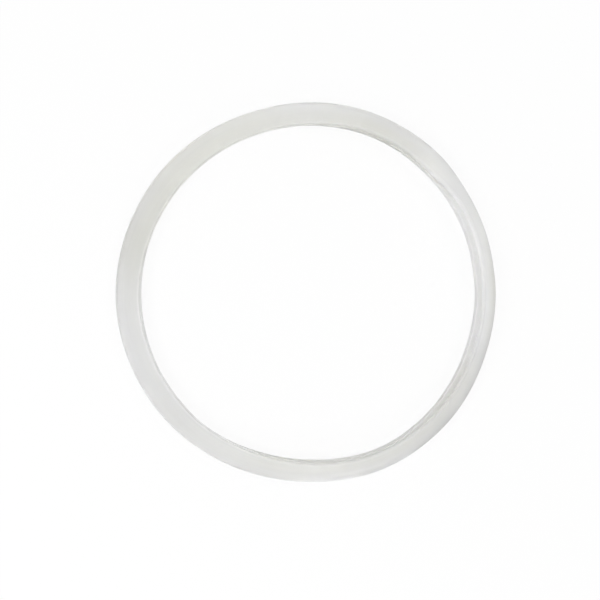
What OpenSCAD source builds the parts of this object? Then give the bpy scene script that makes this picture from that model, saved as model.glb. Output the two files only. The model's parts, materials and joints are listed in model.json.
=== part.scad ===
// Sealing ring of a stovetop pressure cooker, moulded in one piece from clear silicone rubber.
// Its section is a channel that opens inward. The back of the channel fills the seat in the lid's rim.
// Steam enters the groove and spreads the two lips, one against the lid and one against the pot.
// Out of its lid the soft ring lies loose. Part of it lies flat, and the rest is twisted: the section rolls,
// so that the lips rise off the ground and the top face tips outward. The lid holds it flat all round.
// The origin is the centre of the underside, and +Z is the axis of the ring.

/* [Ring] */
// Inner diameter, over the tips of the lips
inner_d = 200; // [160:1:280]
// Radial width of the section, from the lip tips to the back
section_w = 13.5; // [12:0.5:20]
// Height of the section when nothing presses on it
section_h = 7.5; // [6.5:0.1:10]
// Radius on the two edges of the back
back_edge_r = 1.6; // [0.6:0.1:2.8]

/* [Lips] */
// Thickness of each lip at its tip
lip_tip_t = 2.2; // [1.6:0.1:2.3]
// How much thicker each lip is where it meets the end of the groove
lip_taper = 0.4; // [0:0.05:0.6]
// Radius on the outer edge of each lip tip
tip_edge_r = 0.8; // [0.2:0.05:1]
// Radius on the edge of each lip tip at the mouth of the groove
mouth_edge_r = 0.35; // [0.1:0.05:0.5]

/* [Groove] */
// Depth of the groove, from the lip tips to the middle of its round end
groove_depth = 9; // [6:0.1:10.5]

/* [Twist] */
// Roll of the section in the twisted stretch, in degrees. At 0 the ring lies as its lid holds it
roll = 50; // [0:1:60]
// Direction of the middle of the twisted stretch, in degrees from +X
twist_direction = -20; // [-180:1:180]
// How far the full roll reaches each way from there, in degrees round the ring
full_reach = 52; // [5:1:90]
// Stretch past that, at each end, over which the roll dies out, in degrees round the ring
ease_span = 52; // [20:1:80]

/* [Hidden] */
silicone = [0.85, 0.85, 0.83];
round_steps = 96;
turn_steps = 240;
inner_r = inner_d / 2;
outer_r = inner_r + section_w;
middle_r = inner_r + section_w / 2;
half_h = section_h / 2;
twist_reach = full_reach + ease_span;

// Between the rolled and the flat stretch the ring is a loft, with a section about every loft_step degrees.
// It is smaller all round by seam, and runs lap degrees into its neighbours, so that it ends inside them.
loft_step = 4;
seam = 0.03;
lap = 1;

// The groove is symmetrical about the mid-height of the section. Its round end is a circle on that
// line, and each wall runs straight from the end circle to the mouth, leaning by wall_lean degrees.
mouth_half = half_h - lip_tip_t;
end_r = mouth_half - lip_taper;
end_x = inner_r + groove_depth - end_r;
wall_lean = atan2(mouth_half, groove_depth - end_r)
    - asin(end_r / norm([groove_depth - end_r, mouth_half]));

// Height of a groove wall above mid-height at radius x
function wall_y(x) = mouth_half - (x - inner_r) * tan(wall_lean);

// The arcs of the upper half of the section, from the groove's deepest point round the lip to the back:
// [centre, radius, start angle, end angle]. The groove's end is hollow, and the other three are corners.
mouth_x = inner_r + mouth_edge_r;
groove_end = [[end_x, 0], end_r, 0, 90 - wall_lean];
mouth_corner = [
    [mouth_x, wall_y(mouth_x) + mouth_edge_r / cos(wall_lean)],
    mouth_edge_r,
    270 - wall_lean,
    180
];
tip_corner = [[inner_r + tip_edge_r, half_h - tip_edge_r], tip_edge_r, 180, 90];
back_corner = [[outer_r - back_edge_r, half_h - back_edge_r], back_edge_r, 90, 0];
corners = [mouth_corner, tip_corner, back_corner];

// Points on an arc whose radius is less by inset, in a number of equal steps
function arc_points(arc, inset, steps) = [
    for (i = [0:steps])
        let (turn = arc[2] + (arc[3] - arc[2]) * i / steps)
            arc[0] + (arc[1] - inset) * [cos(turn), sin(turn)]
];

function lower(p) = [p.x, -p.y];

function backwards(list) = [for (i = [len(list) - 1:-1:0]) list[i]];

// Half of the outline, from the groove's end round the upper lip to the back, corners cut to chords
upper_outline = concat([arc_points(groove_end, 0, 1)[1]], [for (c = corners) each arc_points(c, 0, 1)]);
lower_outline = [for (p = upper_outline) lower(p)];

// The section above and below mid-height, with true arcs at its corners and at the groove's end
module lip_section() {
    difference() {
        union() {
            polygon(concat(lower_outline, backwards(upper_outline)));
            for (c = corners) {
                translate(c[0]) circle(r = c[1], $fn = round_steps);
                translate(lower(c[0])) circle(r = c[1], $fn = round_steps);
            }
        }
        translate([end_x, 0]) circle(r = end_r, $fn = round_steps);
    }
}

// Height of the middle of the section when it is rolled and its lower back corner rests on the ground
function rest_height(angle) =
    (section_w / 2 - back_edge_r) * sin(angle) + (half_h - back_edge_r) * cos(angle) + back_edge_r;

// A stretch of the ring with one roll all along it, centred on a direction
module even_stretch(angle, direction, span) {
    rotate([0, 0, direction - span / 2])
        rotate_extrude(angle = span, $fn = turn_steps)
            translate([middle_r, rest_height(angle)])
                rotate(-angle)
                    translate([-middle_r, 0])
                        lip_section();
}

// The loft's outline, once round from the groove's deepest point, with the steps of each arc
end_steps = 4;
mouth_steps = 1;
tip_steps = 2;
back_steps = 3;
loft_upper = concat(
    arc_points(groove_end, -seam, end_steps),
    arc_points(mouth_corner, seam, mouth_steps),
    arc_points(tip_corner, seam, tip_steps),
    arc_points(back_corner, seam, back_steps)
);
half_count = len(loft_upper);
loft_outline = concat(loft_upper, [for (i = [half_count - 1:-1:1]) lower(loft_upper[i])]);
outline_count = len(loft_outline);

// Roll of the section at a distance in degrees round the ring from the middle of the twist
function ease(t) = t * t * (3 - 2 * t);
function roll_at(distance) = roll * ease(min(1, max(0, (twist_reach - distance) / ease_span)));

// A point of the outline, rolled about the middle of the section and turned to its place on the ring
function loft_point(p, distance) =
    let (
        angle = roll_at(distance),
        out = p.x - middle_r,
        r = middle_r + out * cos(angle) + p.y * sin(angle)
    )
    [r * cos(distance), r * sin(distance), rest_height(angle) + p.y * cos(angle) - out * sin(angle)];

// Distances of the loft's sections from the middle of the twist
loft_spans = ceil((ease_span - 2 * lap) / loft_step);
loft_distances = concat(
    [full_reach - lap],
    [for (i = [0:loft_spans]) full_reach + lap + (ease_span - 2 * lap) * i / loft_spans],
    [twist_reach + lap]
);

// The loft's end cap, in faces that a fan from their first corner fills: two lips, their roots and the back
lip_root = half_count - 1 - back_steps;
lip_face = [each [end_steps:lip_root]];
root_face = [lip_root, each [0:end_steps]];
back_face = [0, each [lip_root:outline_count - lip_root]];
function turned(face) = [face[0], each backwards([for (k = [1:len(face) - 1]) face[k]])];
function mirrored(face) = [for (i = turned(face)) (outline_count - i) % outline_count];
cap_faces = [lip_face, mirrored(lip_face), root_face, mirrored(root_face), back_face];

// The loft on the anticlockwise side of the twist, as if its middle lay along +X
module easing_stretch() {
    last = (len(loft_distances) - 1) * outline_count;
    side_faces = [
        for (k = [0:len(loft_distances) - 2])
            for (i = [0:outline_count - 1])
                let (
                    j = (i + 1) % outline_count,
                    here = k * outline_count,
                    there = here + outline_count
                )
                each [[here + i, there + j, here + j], [here + i, there + i, there + j]]
    ];
    polyhedron(
        points = [for (d = loft_distances) for (p = loft_outline) loft_point(p, d)],
        faces = concat(
            side_faces,
            cap_faces,
            [for (face = cap_faces) [for (i = turned(face)) last + i]]
        )
    );
}

module sealing_ring() {
    color(silicone)
        rotate([0, 0, twist_direction]) {
            even_stretch(roll, 0, 2 * full_reach);
            even_stretch(0, 180, 360 - 2 * twist_reach);
            easing_stretch();
            mirror([0, 1, 0]) easing_stretch();
        }
}

sealing_ring();
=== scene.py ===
"""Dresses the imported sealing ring: its section, swept the way the soft ring lies, in milky silicone."""

import json
import math

import bpy
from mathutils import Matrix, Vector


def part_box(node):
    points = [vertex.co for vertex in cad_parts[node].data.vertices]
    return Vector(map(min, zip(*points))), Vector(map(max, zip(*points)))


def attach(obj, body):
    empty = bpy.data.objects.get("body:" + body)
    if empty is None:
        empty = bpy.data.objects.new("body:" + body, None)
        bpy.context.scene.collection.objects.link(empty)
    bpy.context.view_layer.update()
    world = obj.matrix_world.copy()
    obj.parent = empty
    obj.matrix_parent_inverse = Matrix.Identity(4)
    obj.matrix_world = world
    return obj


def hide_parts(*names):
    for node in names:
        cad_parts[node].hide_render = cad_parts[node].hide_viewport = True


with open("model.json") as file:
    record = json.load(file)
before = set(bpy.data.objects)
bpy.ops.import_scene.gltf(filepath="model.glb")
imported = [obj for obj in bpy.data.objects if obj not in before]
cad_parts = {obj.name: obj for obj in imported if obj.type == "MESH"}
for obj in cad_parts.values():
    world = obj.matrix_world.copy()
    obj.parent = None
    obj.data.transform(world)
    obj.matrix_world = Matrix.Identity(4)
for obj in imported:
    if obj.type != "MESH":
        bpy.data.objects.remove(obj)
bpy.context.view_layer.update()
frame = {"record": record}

MM = 0.001

# ---------------------------------------------------------------- sizes from the frame
low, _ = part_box("sealing_ring")
mounts = {m["name"]: m for m in frame["record"]["mounts"]}
seat = mounts["lid_rim_seat"]["dims"]
ledge = mounts["lid_ledge_bore"]["dims"]
OUTER_R = seat["r_mm"] * MM
INNER_R = ledge["r_mm"] * MM
HALF_W = (OUTER_R - INNER_R) / 2
HALF_H = mounts["upper_sealing_face"]["pos_m"][2] / 2
MIDDLE_R = INNER_R + HALF_W
BACK_EDGE_R = HALF_H - seat["length_mm"] * MM / 2
TIP_EDGE_R = HALF_H - ledge["length_mm"] * MM / 2

# The groove between the lips, with the sizes it has in the CAD
LIP_TIP_T = 2.2 * MM
LIP_TAPER = 0.4 * MM
GROOVE_DEPTH = 9 * MM
MOUTH_EDGE_R = 0.35 * MM

# The parting line of the mould, a fine ridge round the middle of the back
PARTING_HALF_W = 0.2 * MM
PARTING_H = 0.1 * MM

# ---------------------------------------------------------------- how the soft ring lies
# Angles run anticlockwise from +X, seen from above. A lay is a smooth curve through (angle, amount) pairs.

# Roll of the section in degrees: the lips rise and the top face tips outward
ROLL = [
    (0, 52), (20, 52), (33, 48), (44, 35), (60, 31), (70, 27), (80, 17), (90, 8), (105, 0), (165, 0),
    (185, 6), (205, 0), (235, 0), (245, 7), (255, 20), (265, 30), (278, 37), (292, 41), (303, 44),
    (315, 46), (328, 48), (342, 51),
]

# How far the middle of the section lies outside its true circle, in millimetres
BULGE = [
    (0, -0.2), (10, -0.5), (20, -0.3), (36, -0.3), (46, 0), (70, 0.1), (90, -0.4), (110, -1.2),
    (150, -1), (180, -0.4), (220, -0.2), (230, 0), (240, -0.2), (257, -0.9), (272, -0.5), (282, 0.4),
    (292, 1.3), (302, 1.5), (320, 1.2), (340, 0),
]

# How much wider the section lies than it was moulded, in percent
SPREAD = [
    (0, 0), (30, -1), (40, 4), (49, 5), (60, 1), (75, -3), (100, -4), (120, 0), (140, 6), (165, 6),
    (190, 5), (210, 1), (220, 0), (230, -6), (250, -8), (260, -4), (275, 0),
]

# How far each lip tip bends towards the other and closes the groove, in millimetres
PINCH = [
    (0, 0), (30, 0), (42, 1), (62, 1), (80, 0.8), (100, 0.4), (120, 0), (235, 0), (248, 0.6), (260, 1.2),
    (295, 1.2), (310, 0.5), (325, 0),
]

# ---------------------------------------------------------------- how the silicone is tinted, and where shade and light are painted into it
# Tone steps grey the silicone, and where two meet they add up. A total of 0 or less is clearest. Besides
# the silicone's own tone, the steps hold painted shade, and painted light where they are negative.

# What each tone step takes off the colour, and the step count past which it gets no darker
GREY_PER_TONE_STEP = 0.14
TOP_TONE_STEP = 2

# Grey of the whole section, round the ring: partly the silicone's own tone, partly painted shade that
# follows how the lamps fall round the ring
BODY_TONE_AND_SHADE = [
    (0, 0.3), (15, 0.2), (35, 0.1), (45, 0.3), (60, 0.6), (73, 0.5), (100, 0.65), (120, 0.65),
    (135, 0.75), (150, 0.85), (163, 1.1), (180, 0.95), (200, 0.85), (235, 0.9), (255, 1.25), (270, 1.25),
    (300, 1.55), (312, 1.55), (330, 1.2), (345, 0.7),
]

# More grey towards the solid back: partly the back's own tone, partly painted shade along the outer edge,
# and where negative a painted highlight on the back's edge
BACK_SHADE_AND_HIGHLIGHT = [
    (0, 0.9), (15, 0.3), (37, -0.4), (60, -0.3), (73, -0.6), (95, 0), (120, 0.5), (140, 0.7), (160, 0.8),
    (185, 0.6), (200, 0.6), (225, 0.7), (245, 0.2), (260, -0.2), (280, -1.5), (293, -1.1), (308, -0.2),
    (345, 0.7),
]

# Painted shade on the tip of the upper lip where positive, and a painted highlight along its edge where
# negative
UPPER_LIP_SHADE_AND_HIGHLIGHT = [
    (0, 0.9), (10, 0), (20, -0.5), (45, -0.4), (60, -0.5), (90, -0.3), (130, 0), (170, -0.7), (185, -1),
    (240, -1), (265, -0.8), (285, -0.7), (303, 0), (325, 0.2), (340, 0.8),
]

# Painted shade inside the groove where positive, and painted light where negative, which lightens the
# groove's own shadow
GROOVE_SHADE_AND_LIGHT = [
    (0, -0.5), (40, -0.4), (50, 0.1), (60, 0.6), (80, 0.8), (95, 0.3), (235, 0), (253, -1.1),
    (287, -1.3), (303, -1.4), (322, -1.4), (335, -1.2), (350, -0.6),
]

# Painted shade on the tip of the lower lip where positive, where it lies under the upper lip, and a painted
# light line along its edge where negative
LOWER_LIP_SHADE_AND_LIGHT = [
    (0, 0.9), (10, 0.6), (25, 0.5), (40, -0.1), (50, 0.2), (60, 0.7), (80, 0.9), (95, 0), (130, 0),
    (170, -0.7), (190, -0.9), (215, -0.6), (235, -0.7), (260, -1), (287, -0.9), (303, -0.6), (325, 0.1),
    (345, 0.6),
]

# Haze scatters light and lets less of it through, from 0 for clear to 1 for milky.

# Share of the light that goes through clear silicone, and how much lower it is at full haze
CLEARNESS = 0.55
LOST_TO_HAZE = 0.4

# How much of the lips' haze the inner side and the groove take
INNER_SIDE_HAZE = 0.9
GROOVE_HAZE = 0.8

# Haze of the section's inner side and groove, and of a streak along the upper lip
LIP_HAZE = [
    (0, 0.6), (12, 0.55), (30, 0.3), (50, 0.1), (65, 0), (170, 0), (185, 0.5), (200, 0.5), (213, 0.3),
    (245, 0.6), (257, 0.2), (290, 0.1), (303, 0.4), (312, 0.5), (323, 0.35), (340, 0.6),
]

# Where that streak first has its full haze, in millimetres outward from the lip's tip
HAZE_START = [
    (0, 1.8), (10, 1.2), (25, 0), (160, -1), (185, 0), (203, 1.2), (220, 0), (240, -1), (300, 0),
    (335, 3), (350, 2.6),
]

# Haze of the back
BACK_HAZE = [
    (0, 0), (35, 0.1), (50, 0.3), (70, 0.6), (85, 0.3), (130, 0.3), (160, 0.1), (170, 0), (240, 0),
    (260, 0.5), (272, 0.8), (283, 0.6), (297, 0),
]

# The colour that the grey is multiplied by where the olive tint is full
OLIVE = (1, 1, 0.93, 1)

# How olive it is on the inner side of the section, from 0 to 1: partly the silicone's own tint, partly a
# painted tint of the inner wall and lower lip in the upper lip's shade
INNER_OLIVE_AND_SHADE_TINT = [
    (0, 0), (30, 0), (50, 0.35), (65, 0.6), (90, 0.4), (110, 0.5), (160, 0.6), (180, 0.25), (205, 0.15),
    (235, 0.15), (260, 0.4), (300, 0.4), (330, 0.45), (345, 0),
]

# How olive it is on the back
BACK_OLIVE = [
    (0, 0.45), (30, 0.15), (50, 0.2), (65, 0.2), (80, 0.2), (90, 0.1), (110, 0.5), (135, 0.5),
    (153, 0.3), (165, 0.4), (180, 0.1), (200, 0), (235, 0.2), (260, 0.1), (290, 0), (310, 0.1),
    (340, 0.2),
]

# How many sections the ring has, once round
AROUND = 720

SILICONE_IOR = 1.41

# How far each lamp stands from the ring's centre, in metres
LAMP_DISTANCE = 1.1


def smooth_lay(lay):
    """A periodic function of the angle in degrees that eases from pair to pair of a lay."""
    angles = [a for a, _ in lay]
    amounts = [b for _, b in lay]
    count = len(lay)

    def slope(i):
        before, after = (i - 1) % count, (i + 1) % count
        if (amounts[i] - amounts[before]) * (amounts[after] - amounts[i]) <= 0:
            return 0
        return (amounts[after] - amounts[before]) / ((angles[after] - angles[before]) % 360)

    def at(angle):
        angle %= 360
        i = max([k for k in range(count) if angles[k] <= angle], default=count - 1)
        j = (i + 1) % count
        span = (angles[j] - angles[i]) % 360
        t = ((angle - angles[i]) % 360) / span
        ease = t * t * (3 - 2 * t)
        bend = slope(i) * span * t * (1 - t) ** 2 - slope(j) * span * t * t * (1 - t)
        return amounts[i] + (amounts[j] - amounts[i]) * ease + bend

    return at


roll_at = smooth_lay(ROLL)
bulge_at = smooth_lay(BULGE)
spread_at = smooth_lay(SPREAD)
pinch_at = smooth_lay(PINCH)
body_tone_and_shade_at = smooth_lay(BODY_TONE_AND_SHADE)
back_shade_and_highlight_at = smooth_lay(BACK_SHADE_AND_HIGHLIGHT)
upper_lip_shade_and_highlight_at = smooth_lay(UPPER_LIP_SHADE_AND_HIGHLIGHT)
groove_shade_and_light_at = smooth_lay(GROOVE_SHADE_AND_LIGHT)
lower_lip_shade_and_light_at = smooth_lay(LOWER_LIP_SHADE_AND_LIGHT)
lip_haze_at = smooth_lay(LIP_HAZE)
haze_start_at = smooth_lay(HAZE_START)
back_haze_at = smooth_lay(BACK_HAZE)
inner_olive_and_shade_tint_at = smooth_lay(INNER_OLIVE_AND_SHADE_TINT)
back_olive_at = smooth_lay(BACK_OLIVE)


# ---------------------------------------------------------------- the section
def arc(cx, cy, r, start, end, steps):
    """Points on an arc, from start to end in degrees, both ends included."""
    turns = [math.radians(start + (end - start) * k / steps) for k in range(steps + 1)]
    return [(cx + r * math.cos(t), cy + r * math.sin(t)) for t in turns]


def line(a, b, steps):
    """Points between a and b, both ends left out."""
    return [(a[0] + (b[0] - a[0]) * k / steps, a[1] + (b[1] - a[1]) * k / steps) for k in range(1, steps)]


def lip_section():
    """The outline of the section about its own middle, as (outward, up) points, once round."""
    mouth_half = HALF_H - LIP_TIP_T
    end_r = mouth_half - LIP_TAPER
    run = GROOVE_DEPTH - end_r
    lean = math.atan2(mouth_half, run) - math.asin(end_r / math.hypot(run, mouth_half))
    lean_deg = math.degrees(lean)
    mouth_x = -HALF_W + MOUTH_EDGE_R
    mouth_y = mouth_half - MOUTH_EDGE_R * math.tan(lean) + MOUTH_EDGE_R / math.cos(lean)
    # The groove's round end, the edges of its mouth, of the lip's tip and of the back, and the parting line
    pieces = [
        arc(-HALF_W + run, 0, end_r, 0, 90 - lean_deg, 8),
        arc(mouth_x, mouth_y, MOUTH_EDGE_R, 270 - lean_deg, 180, 5),
        arc(-HALF_W + TIP_EDGE_R, HALF_H - TIP_EDGE_R, TIP_EDGE_R, 180, 90, 8),
        arc(HALF_W - BACK_EDGE_R, HALF_H - BACK_EDGE_R, BACK_EDGE_R, 90, 0, 8),
        [(HALF_W, PARTING_HALF_W), (HALF_W + PARTING_H, PARTING_HALF_W / 3)],
    ]
    # Steps of the straight stretch from each of them to the next
    steps_between = [8, 2, 16, 3]
    upper = list(pieces[0])
    for piece, steps in zip(pieces[1:], steps_between):
        upper += line(upper[-1], piece[0], steps) + piece
    lower = [(x, -y) for x, y in reversed(upper[1:])]
    return upper + lower


SECTION = lip_section()


def lip_share(x):
    """How much a point moves when its lip bends: 0 from the groove's end outward, and 1 at the tip."""
    return max((GROOVE_DEPTH - HALF_W - x) / GROOVE_DEPTH, 0) ** 2


def lay_section(angle):
    """The section's points at an angle in degrees: pinched, spread, rolled and resting on the ground."""
    roll = math.radians(roll_at(angle))
    wider = 1 + spread_at(angle) / 100
    pinch = pinch_at(angle) * MM
    bent = [(x, y - math.copysign(pinch * lip_share(x), y)) for x, y in SECTION]
    turned = [
        (wider * x * math.cos(roll) + y * math.sin(roll), y * math.cos(roll) - wider * x * math.sin(roll))
        for x, y in bent
    ]
    lift = low.z - min(z for _, z in turned)
    reach = MIDDLE_R + bulge_at(angle) * MM
    out_x, out_y = math.cos(math.radians(angle)), math.sin(math.radians(angle))
    return [((reach + r) * out_x, (reach + r) * out_y, z + lift) for r, z in turned]


def ramp(value, start, end):
    """0 before start, 1 after end and a smooth rise between them."""
    t = min(max((value - start) / (end - start), 0), 1)
    return t * t * (3 - 2 * t)


def lip_side(y):
    """0 up to the top of the groove's mouth, and 1 a little above it. With -y it is 1 below the mouth."""
    return ramp(y, HALF_H - LIP_TIP_T, HALF_H - LIP_TIP_T + 0.4 * MM)


def groove_share(x, y):
    """1 inside the groove, and 0 outside it."""
    return (1 - lip_side(abs(y))) * (1 - ramp(x, 0, HALF_W))


def tone_and_shade_at(x, y, angle):
    """How grey the silicone is at a point of the flat section, out and up from its middle: its own tone,
    with painted shade and painted light added.
    """
    tips = 1 - ramp(x, -HALF_W + 0.3 * MM, -HALF_W + 1.5 * MM)
    groove = groove_share(x, y)
    upper = tips * lip_side(y)
    lower = tips * lip_side(-y)
    back = ramp(x, -2 * MM, HALF_W - 1 * MM)
    # The silicone's own tone, plus painted shade and painted light from the lays
    return (
        body_tone_and_shade_at(angle)
        + back * back_shade_and_highlight_at(angle)
        + groove * groove_shade_and_light_at(angle)
        + upper * upper_lip_shade_and_highlight_at(angle)
        + lower * lower_lip_shade_and_light_at(angle)
    )


def haze_at(x, y, angle):
    """How hazy the silicone is at a point of the flat section, out and up from its middle."""
    start = haze_start_at(angle) * MM - HALF_W
    streak = ramp(x, start - 1 * MM, start) * (1 - ramp(x, start + 1 * MM, start + 4 * MM))
    streak *= ramp(y, -1 * MM, 2 * MM)
    inner_side = INNER_SIDE_HAZE * (1 - ramp(x, 1 * MM - HALF_W, 3 * MM - HALF_W))
    inner_side *= ramp(y, -3 * MM, -2 * MM)
    back = ramp(x, HALF_W - 3 * MM, HALF_W - 1 * MM)
    lips = max(streak, inner_side, GROOVE_HAZE * groove_share(x, y))
    return lips * lip_haze_at(angle) + back * back_haze_at(angle)


def olive_at(x, angle):
    """How olive the silicone is at a distance outward from the middle of the section. On the inner side the
    olive is partly a painted tint of shade.
    """
    back = ramp(x, -4 * MM, 5 * MM)
    return inner_olive_and_shade_tint_at(angle) + back * (back_olive_at(angle) - inner_olive_and_shade_tint_at(angle))


def store(mesh, name, kind, values):
    """Stores one value a point on the mesh: a number or three, as kind says."""
    field = "vector" if kind == "FLOAT_VECTOR" else "value"
    mesh.attributes.new(name, kind, "POINT").data.foreach_set(field, values)


def sweep_ring(name):
    """The ring as one mesh. Each point also holds its grey tone with painted shade and light, its haze,
    olive and place in the section.
    """
    count = len(SECTION)
    angles = [360 * k / AROUND for k in range(AROUND)]
    points = [p for angle in angles for p in lay_section(angle)]
    faces = []
    for k in range(AROUND):
        here, there = k * count, (k + 1) % AROUND * count
        for i in range(count):
            j = (i + 1) % count
            faces.append((here + i, here + j, there + j, there + i))
    mesh = bpy.data.meshes.new(name)
    mesh.from_pydata(points, [], faces)
    store(mesh, "silicone_tone_and_shade", "FLOAT", [tone_and_shade_at(x, y, a) for a in angles for x, y in SECTION])
    store(mesh, "silicone_haze", "FLOAT", [haze_at(x, y, a) for a in angles for x, y in SECTION])
    store(mesh, "silicone_olive", "FLOAT", [olive_at(x, a) for a in angles for x, _ in SECTION])
    places = [(x / MM, y / MM, 0) for x, y in SECTION]
    store(mesh, "section_place", "FLOAT_VECTOR", [value for place in places for value in place] * AROUND)
    mesh.validate()
    mesh.shade_smooth()
    ring = bpy.data.objects.new(name, mesh)
    bpy.context.scene.collection.objects.link(ring)
    return ring


# ---------------------------------------------------------------- materials
def new_material(name):
    """A material that has only an output node: the material, its nodes, its links and that node."""
    material = bpy.data.materials.new(name)
    material.use_nodes = True
    nodes, links = material.node_tree.nodes, material.node_tree.links
    nodes.clear()
    output = nodes.new("ShaderNodeOutputMaterial")
    return material, nodes, links, output


def math_node(nodes, links, operation, first, second):
    """A Math node. Each of its two values is a number or the output that gives it."""
    node = nodes.new("ShaderNodeMath")
    node.operation = operation
    for socket, value in zip(node.inputs, (first, second)):
        if isinstance(value, (int, float)):
            socket.default_value = value
        else:
            links.new(value, socket)
    return node.outputs[0]


def stored(nodes, name):
    """The number that the mesh holds under a name at each point."""
    node = nodes.new("ShaderNodeAttribute")
    node.attribute_name = name
    return node.outputs["Fac"]


def cloud(nodes, links, size, detail):
    """Noise of the given patch size in metres, fixed to the object. Its output runs about 0.5."""
    place = nodes.new("ShaderNodeTexCoord")
    noise = nodes.new("ShaderNodeTexNoise")
    noise.inputs["Scale"].default_value = 1 / size
    noise.inputs["Detail"].default_value = detail
    links.new(place.outputs["Object"], noise.inputs["Vector"])
    return noise.outputs["Fac"]


def mould_lines(nodes, links, line_size, line_length):
    """Noise drawn out along the ring: fine across the section, and slow in the way round it."""
    section = nodes.new("ShaderNodeAttribute")
    section.attribute_name = "section_place"
    across = nodes.new("ShaderNodeSeparateXYZ")
    links.new(section.outputs["Vector"], across.inputs[0])
    place = nodes.new("ShaderNodeTexCoord")
    around = nodes.new("ShaderNodeSeparateXYZ")
    links.new(place.outputs["Object"], around.inputs[0])
    mixed = nodes.new("ShaderNodeCombineXYZ")
    links.new(math_node(nodes, links, "DIVIDE", across.outputs["X"], line_size / MM), mixed.inputs["X"])
    links.new(math_node(nodes, links, "DIVIDE", across.outputs["Y"], line_size / MM), mixed.inputs["Y"])
    links.new(math_node(nodes, links, "DIVIDE", around.outputs["X"], line_length), mixed.inputs["Z"])
    noise = nodes.new("ShaderNodeTexNoise")
    noise.noise_dimensions = "4D"
    noise.inputs["Scale"].default_value = 1
    noise.inputs["Detail"].default_value = 1
    links.new(mixed.outputs[0], noise.inputs["Vector"])
    links.new(math_node(nodes, links, "DIVIDE", around.outputs["Y"], line_length), noise.inputs["W"])
    return noise.outputs["Fac"]


def scaled_and_shifted(nodes, links, value, factor, shift):
    """The value times the factor, plus the shift."""
    result = math_node(nodes, links, "MULTIPLY_ADD", value, factor)
    result.node.inputs[2].default_value = shift
    return result


def uneven(nodes, links, noise, amount):
    """Noise between 0 and 1, brought to run about 0, by half the amount each way at most."""
    return scaled_and_shifted(nodes, links, noise, amount, -amount / 2)


def silicone_colour(nodes, links, lines):
    """Grey that follows the tone with its painted shade and light, with patches and moulding lines in it,
    and then turned to olive.
    """
    patches = uneven(nodes, links, cloud(nodes, links, size=14 * MM, detail=2), amount=0.3)
    streaks = uneven(nodes, links, lines, amount=0.4)
    blotches = math_node(nodes, links, "ADD", patches, streaks)
    # Tone with its painted shade and light, plus patches and moulding lines
    shaded_tone = math_node(nodes, links, "ADD", stored(nodes, "silicone_tone_and_shade"), blotches)
    grey = nodes.new("ShaderNodeMapRange")
    grey.inputs["From Max"].default_value = TOP_TONE_STEP
    grey.inputs["To Min"].default_value = 1
    grey.inputs["To Max"].default_value = 1 - TOP_TONE_STEP * GREY_PER_TONE_STEP
    links.new(shaded_tone, grey.inputs["Value"])
    mix = nodes.new("ShaderNodeMix")
    mix.data_type = "RGBA"
    mix.blend_type = "MULTIPLY"
    # A Mix node has sockets for several kinds of value, all named alike. These three are the colours.
    first, second, mixed = mix.inputs[6], mix.inputs[7], mix.outputs[2]
    second.default_value = OLIVE
    links.new(stored(nodes, "silicone_olive"), mix.inputs["Factor"])
    links.new(grey.outputs["Result"], first)
    return mixed


def silicone_material():
    """Milky rubber. It lets light through and scatters it, less clearly where it is hazy. Its colour holds
    painted shade and painted light.
    """
    material, nodes, links, output = new_material("clear_silicone")
    skin = nodes.new("ShaderNodeBsdfPrincipled")
    skin.inputs["IOR"].default_value = SILICONE_IOR
    skin.inputs["Subsurface Weight"].default_value = 1
    skin.inputs["Subsurface Radius"].default_value = (1, 1, 0.95)
    skin.inputs["Subsurface Scale"].default_value = 10 * MM
    haze = stored(nodes, "silicone_haze")
    clearness = scaled_and_shifted(nodes, links, haze, -LOST_TO_HAZE, CLEARNESS)
    links.new(clearness, skin.inputs["Transmission Weight"])
    skin.inputs["Coat Weight"].default_value = 0.2
    skin.inputs["Coat Roughness"].default_value = 0.15
    skin.inputs["Coat IOR"].default_value = SILICONE_IOR

    lines = mould_lines(nodes, links, line_size=0.7 * MM, line_length=50 * MM)
    links.new(silicone_colour(nodes, links, lines), skin.inputs["Base Color"])

    satin = nodes.new("ShaderNodeMapRange")
    satin.inputs["To Min"].default_value = 0.55
    satin.inputs["To Max"].default_value = 0.7
    links.new(cloud(nodes, links, size=5 * MM, detail=3), satin.inputs["Value"])
    links.new(satin.outputs[0], skin.inputs["Roughness"])

    bump = nodes.new("ShaderNodeBump")
    bump.inputs["Strength"].default_value = 0.6
    bump.inputs["Distance"].default_value = 0.1 * MM
    links.new(lines, bump.inputs["Height"])
    links.new(bump.outputs["Normal"], skin.inputs["Normal"])
    links.new(bump.outputs["Normal"], skin.inputs["Coat Normal"])
    links.new(skin.outputs["BSDF"], output.inputs["Surface"])
    return material


def seen_directly(nodes, links):
    """1 for rays from the camera, off a gloss or through something clear, and 0 for light that lands."""
    path = nodes.new("ShaderNodeLightPath")
    seen = math_node(nodes, links, "MAXIMUM", path.outputs["Is Camera Ray"], path.outputs["Is Glossy Ray"])
    return math_node(nodes, links, "MAXIMUM", seen, path.outputs["Is Transmission Ray"])


def floor_material():
    """Matt white card, mostly seen as a white glow, with a little of the card and its shadows."""
    material, nodes, links, output = new_material("floor_white")
    card = nodes.new("ShaderNodeBsdfDiffuse")
    card.inputs["Color"].default_value = (0.9, 0.9, 0.9, 1)
    glow = nodes.new("ShaderNodeEmission")
    mix = nodes.new("ShaderNodeMixShader")
    glow_share = math_node(nodes, links, "MULTIPLY", seen_directly(nodes, links), 0.9)
    links.new(glow_share, mix.inputs["Fac"])
    links.new(card.outputs["BSDF"], mix.inputs[1])
    links.new(glow.outputs["Emission"], mix.inputs[2])
    links.new(mix.outputs["Shader"], output.inputs["Surface"])
    return material


# ---------------------------------------------------------------- the object
ring = sweep_ring("sealing_ring_lying")
ring.data.materials.append(silicone_material())
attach(ring, "root")
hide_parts("sealing_ring")


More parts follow.
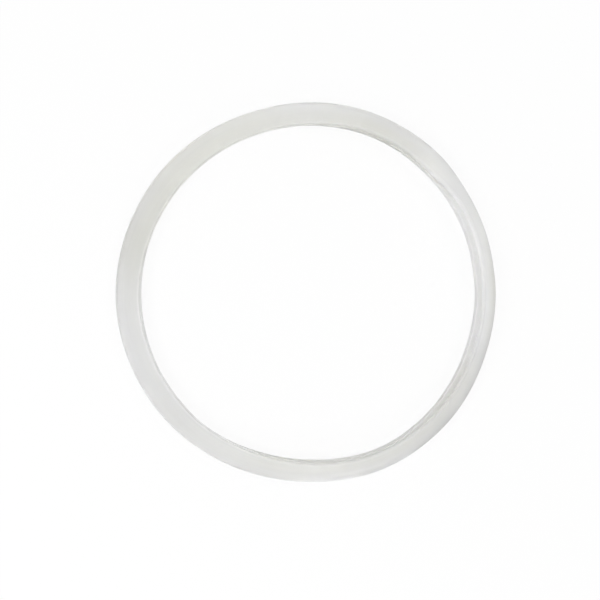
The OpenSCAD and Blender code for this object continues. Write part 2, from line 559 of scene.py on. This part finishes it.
# ---------------------------------------------------------------- floor, light and camera
def make_floor(half, gap):
    """A square sheet below the ring: half its width, and the gap between the two."""
    corners = [(-half, -half, 0), (half, -half, 0), (half, half, 0), (-half, half, 0)]
    mesh = bpy.data.meshes.new("floor")
    mesh.from_pydata(corners, [], [(0, 1, 2, 3)])
    floor = bpy.data.objects.new("floor", mesh)
    floor.location.z = low.z - gap
    floor.data.materials.append(floor_material())
    bpy.context.scene.collection.objects.link(floor)


def make_world(strength):
    """White all round, at full white where it is seen and at the given strength as light."""
    world = bpy.data.worlds.new("studio")
    bpy.context.scene.world = world
    world.use_nodes = True
    nodes, links = world.node_tree.nodes, world.node_tree.links
    background = nodes["Background"]
    background.inputs["Color"].default_value = (1, 1, 1, 1)
    shown = scaled_and_shifted(nodes, links, seen_directly(nodes, links), 1 - strength, strength)
    links.new(shown, background.inputs["Strength"])


def soft_light(name, azimuth, elevation, size, power):
    """A round lamp that looks at the ring's centre from a direction in degrees."""
    light = bpy.data.lights.new(name, "AREA")
    light.shape = "DISK"
    light.size = size
    light.energy = power
    lamp = bpy.data.objects.new(name, light)
    turn, rise = math.radians(azimuth), math.radians(elevation)
    lamp.location = (
        LAMP_DISTANCE * math.cos(rise) * math.cos(turn),
        LAMP_DISTANCE * math.cos(rise) * math.sin(turn),
        LAMP_DISTANCE * math.sin(rise),
    )
    to_ring = -lamp.location
    lamp.rotation_euler = to_ring.to_track_quat("-Z", "Y").to_euler()
    bpy.context.scene.collection.objects.link(lamp)


def make_camera(lens, place):
    """A camera that looks straight down from its place."""
    camera = bpy.data.cameras.new("camera")
    camera.sensor_width = 36
    camera.lens = lens
    camera.clip_start = 0.01
    body = bpy.data.objects.new("camera", camera)
    body.location = place
    bpy.context.scene.collection.objects.link(body)
    bpy.context.scene.camera = body


def let_light_through():
    """Enough bounces for light to cross both lips and the groove, which would stay grey without them."""
    cycles = bpy.context.scene.cycles
    cycles.max_bounces = 32
    cycles.transmission_bounces = 32
    cycles.diffuse_bounces = 32
    cycles.glossy_bounces = 12


make_floor(half=3, gap=0.1 * MM)
make_world(strength=0.7)
soft_light("key", azimuth=30, elevation=50, size=0.4, power=1.6)
soft_light("fill", azimuth=200, elevation=45, size=0.4, power=3.4)
soft_light("edge", azimuth=270, elevation=30, size=0.3, power=1.6)
# The camera stands above a point a few millimetres to -X and -Y of the ring's centre
make_camera(lens=69.9, place=(-3.8 * MM, -4.65 * MM, 700 * MM))
let_light_through()
bpy.context.scene.view_settings.view_transform = "Standard"
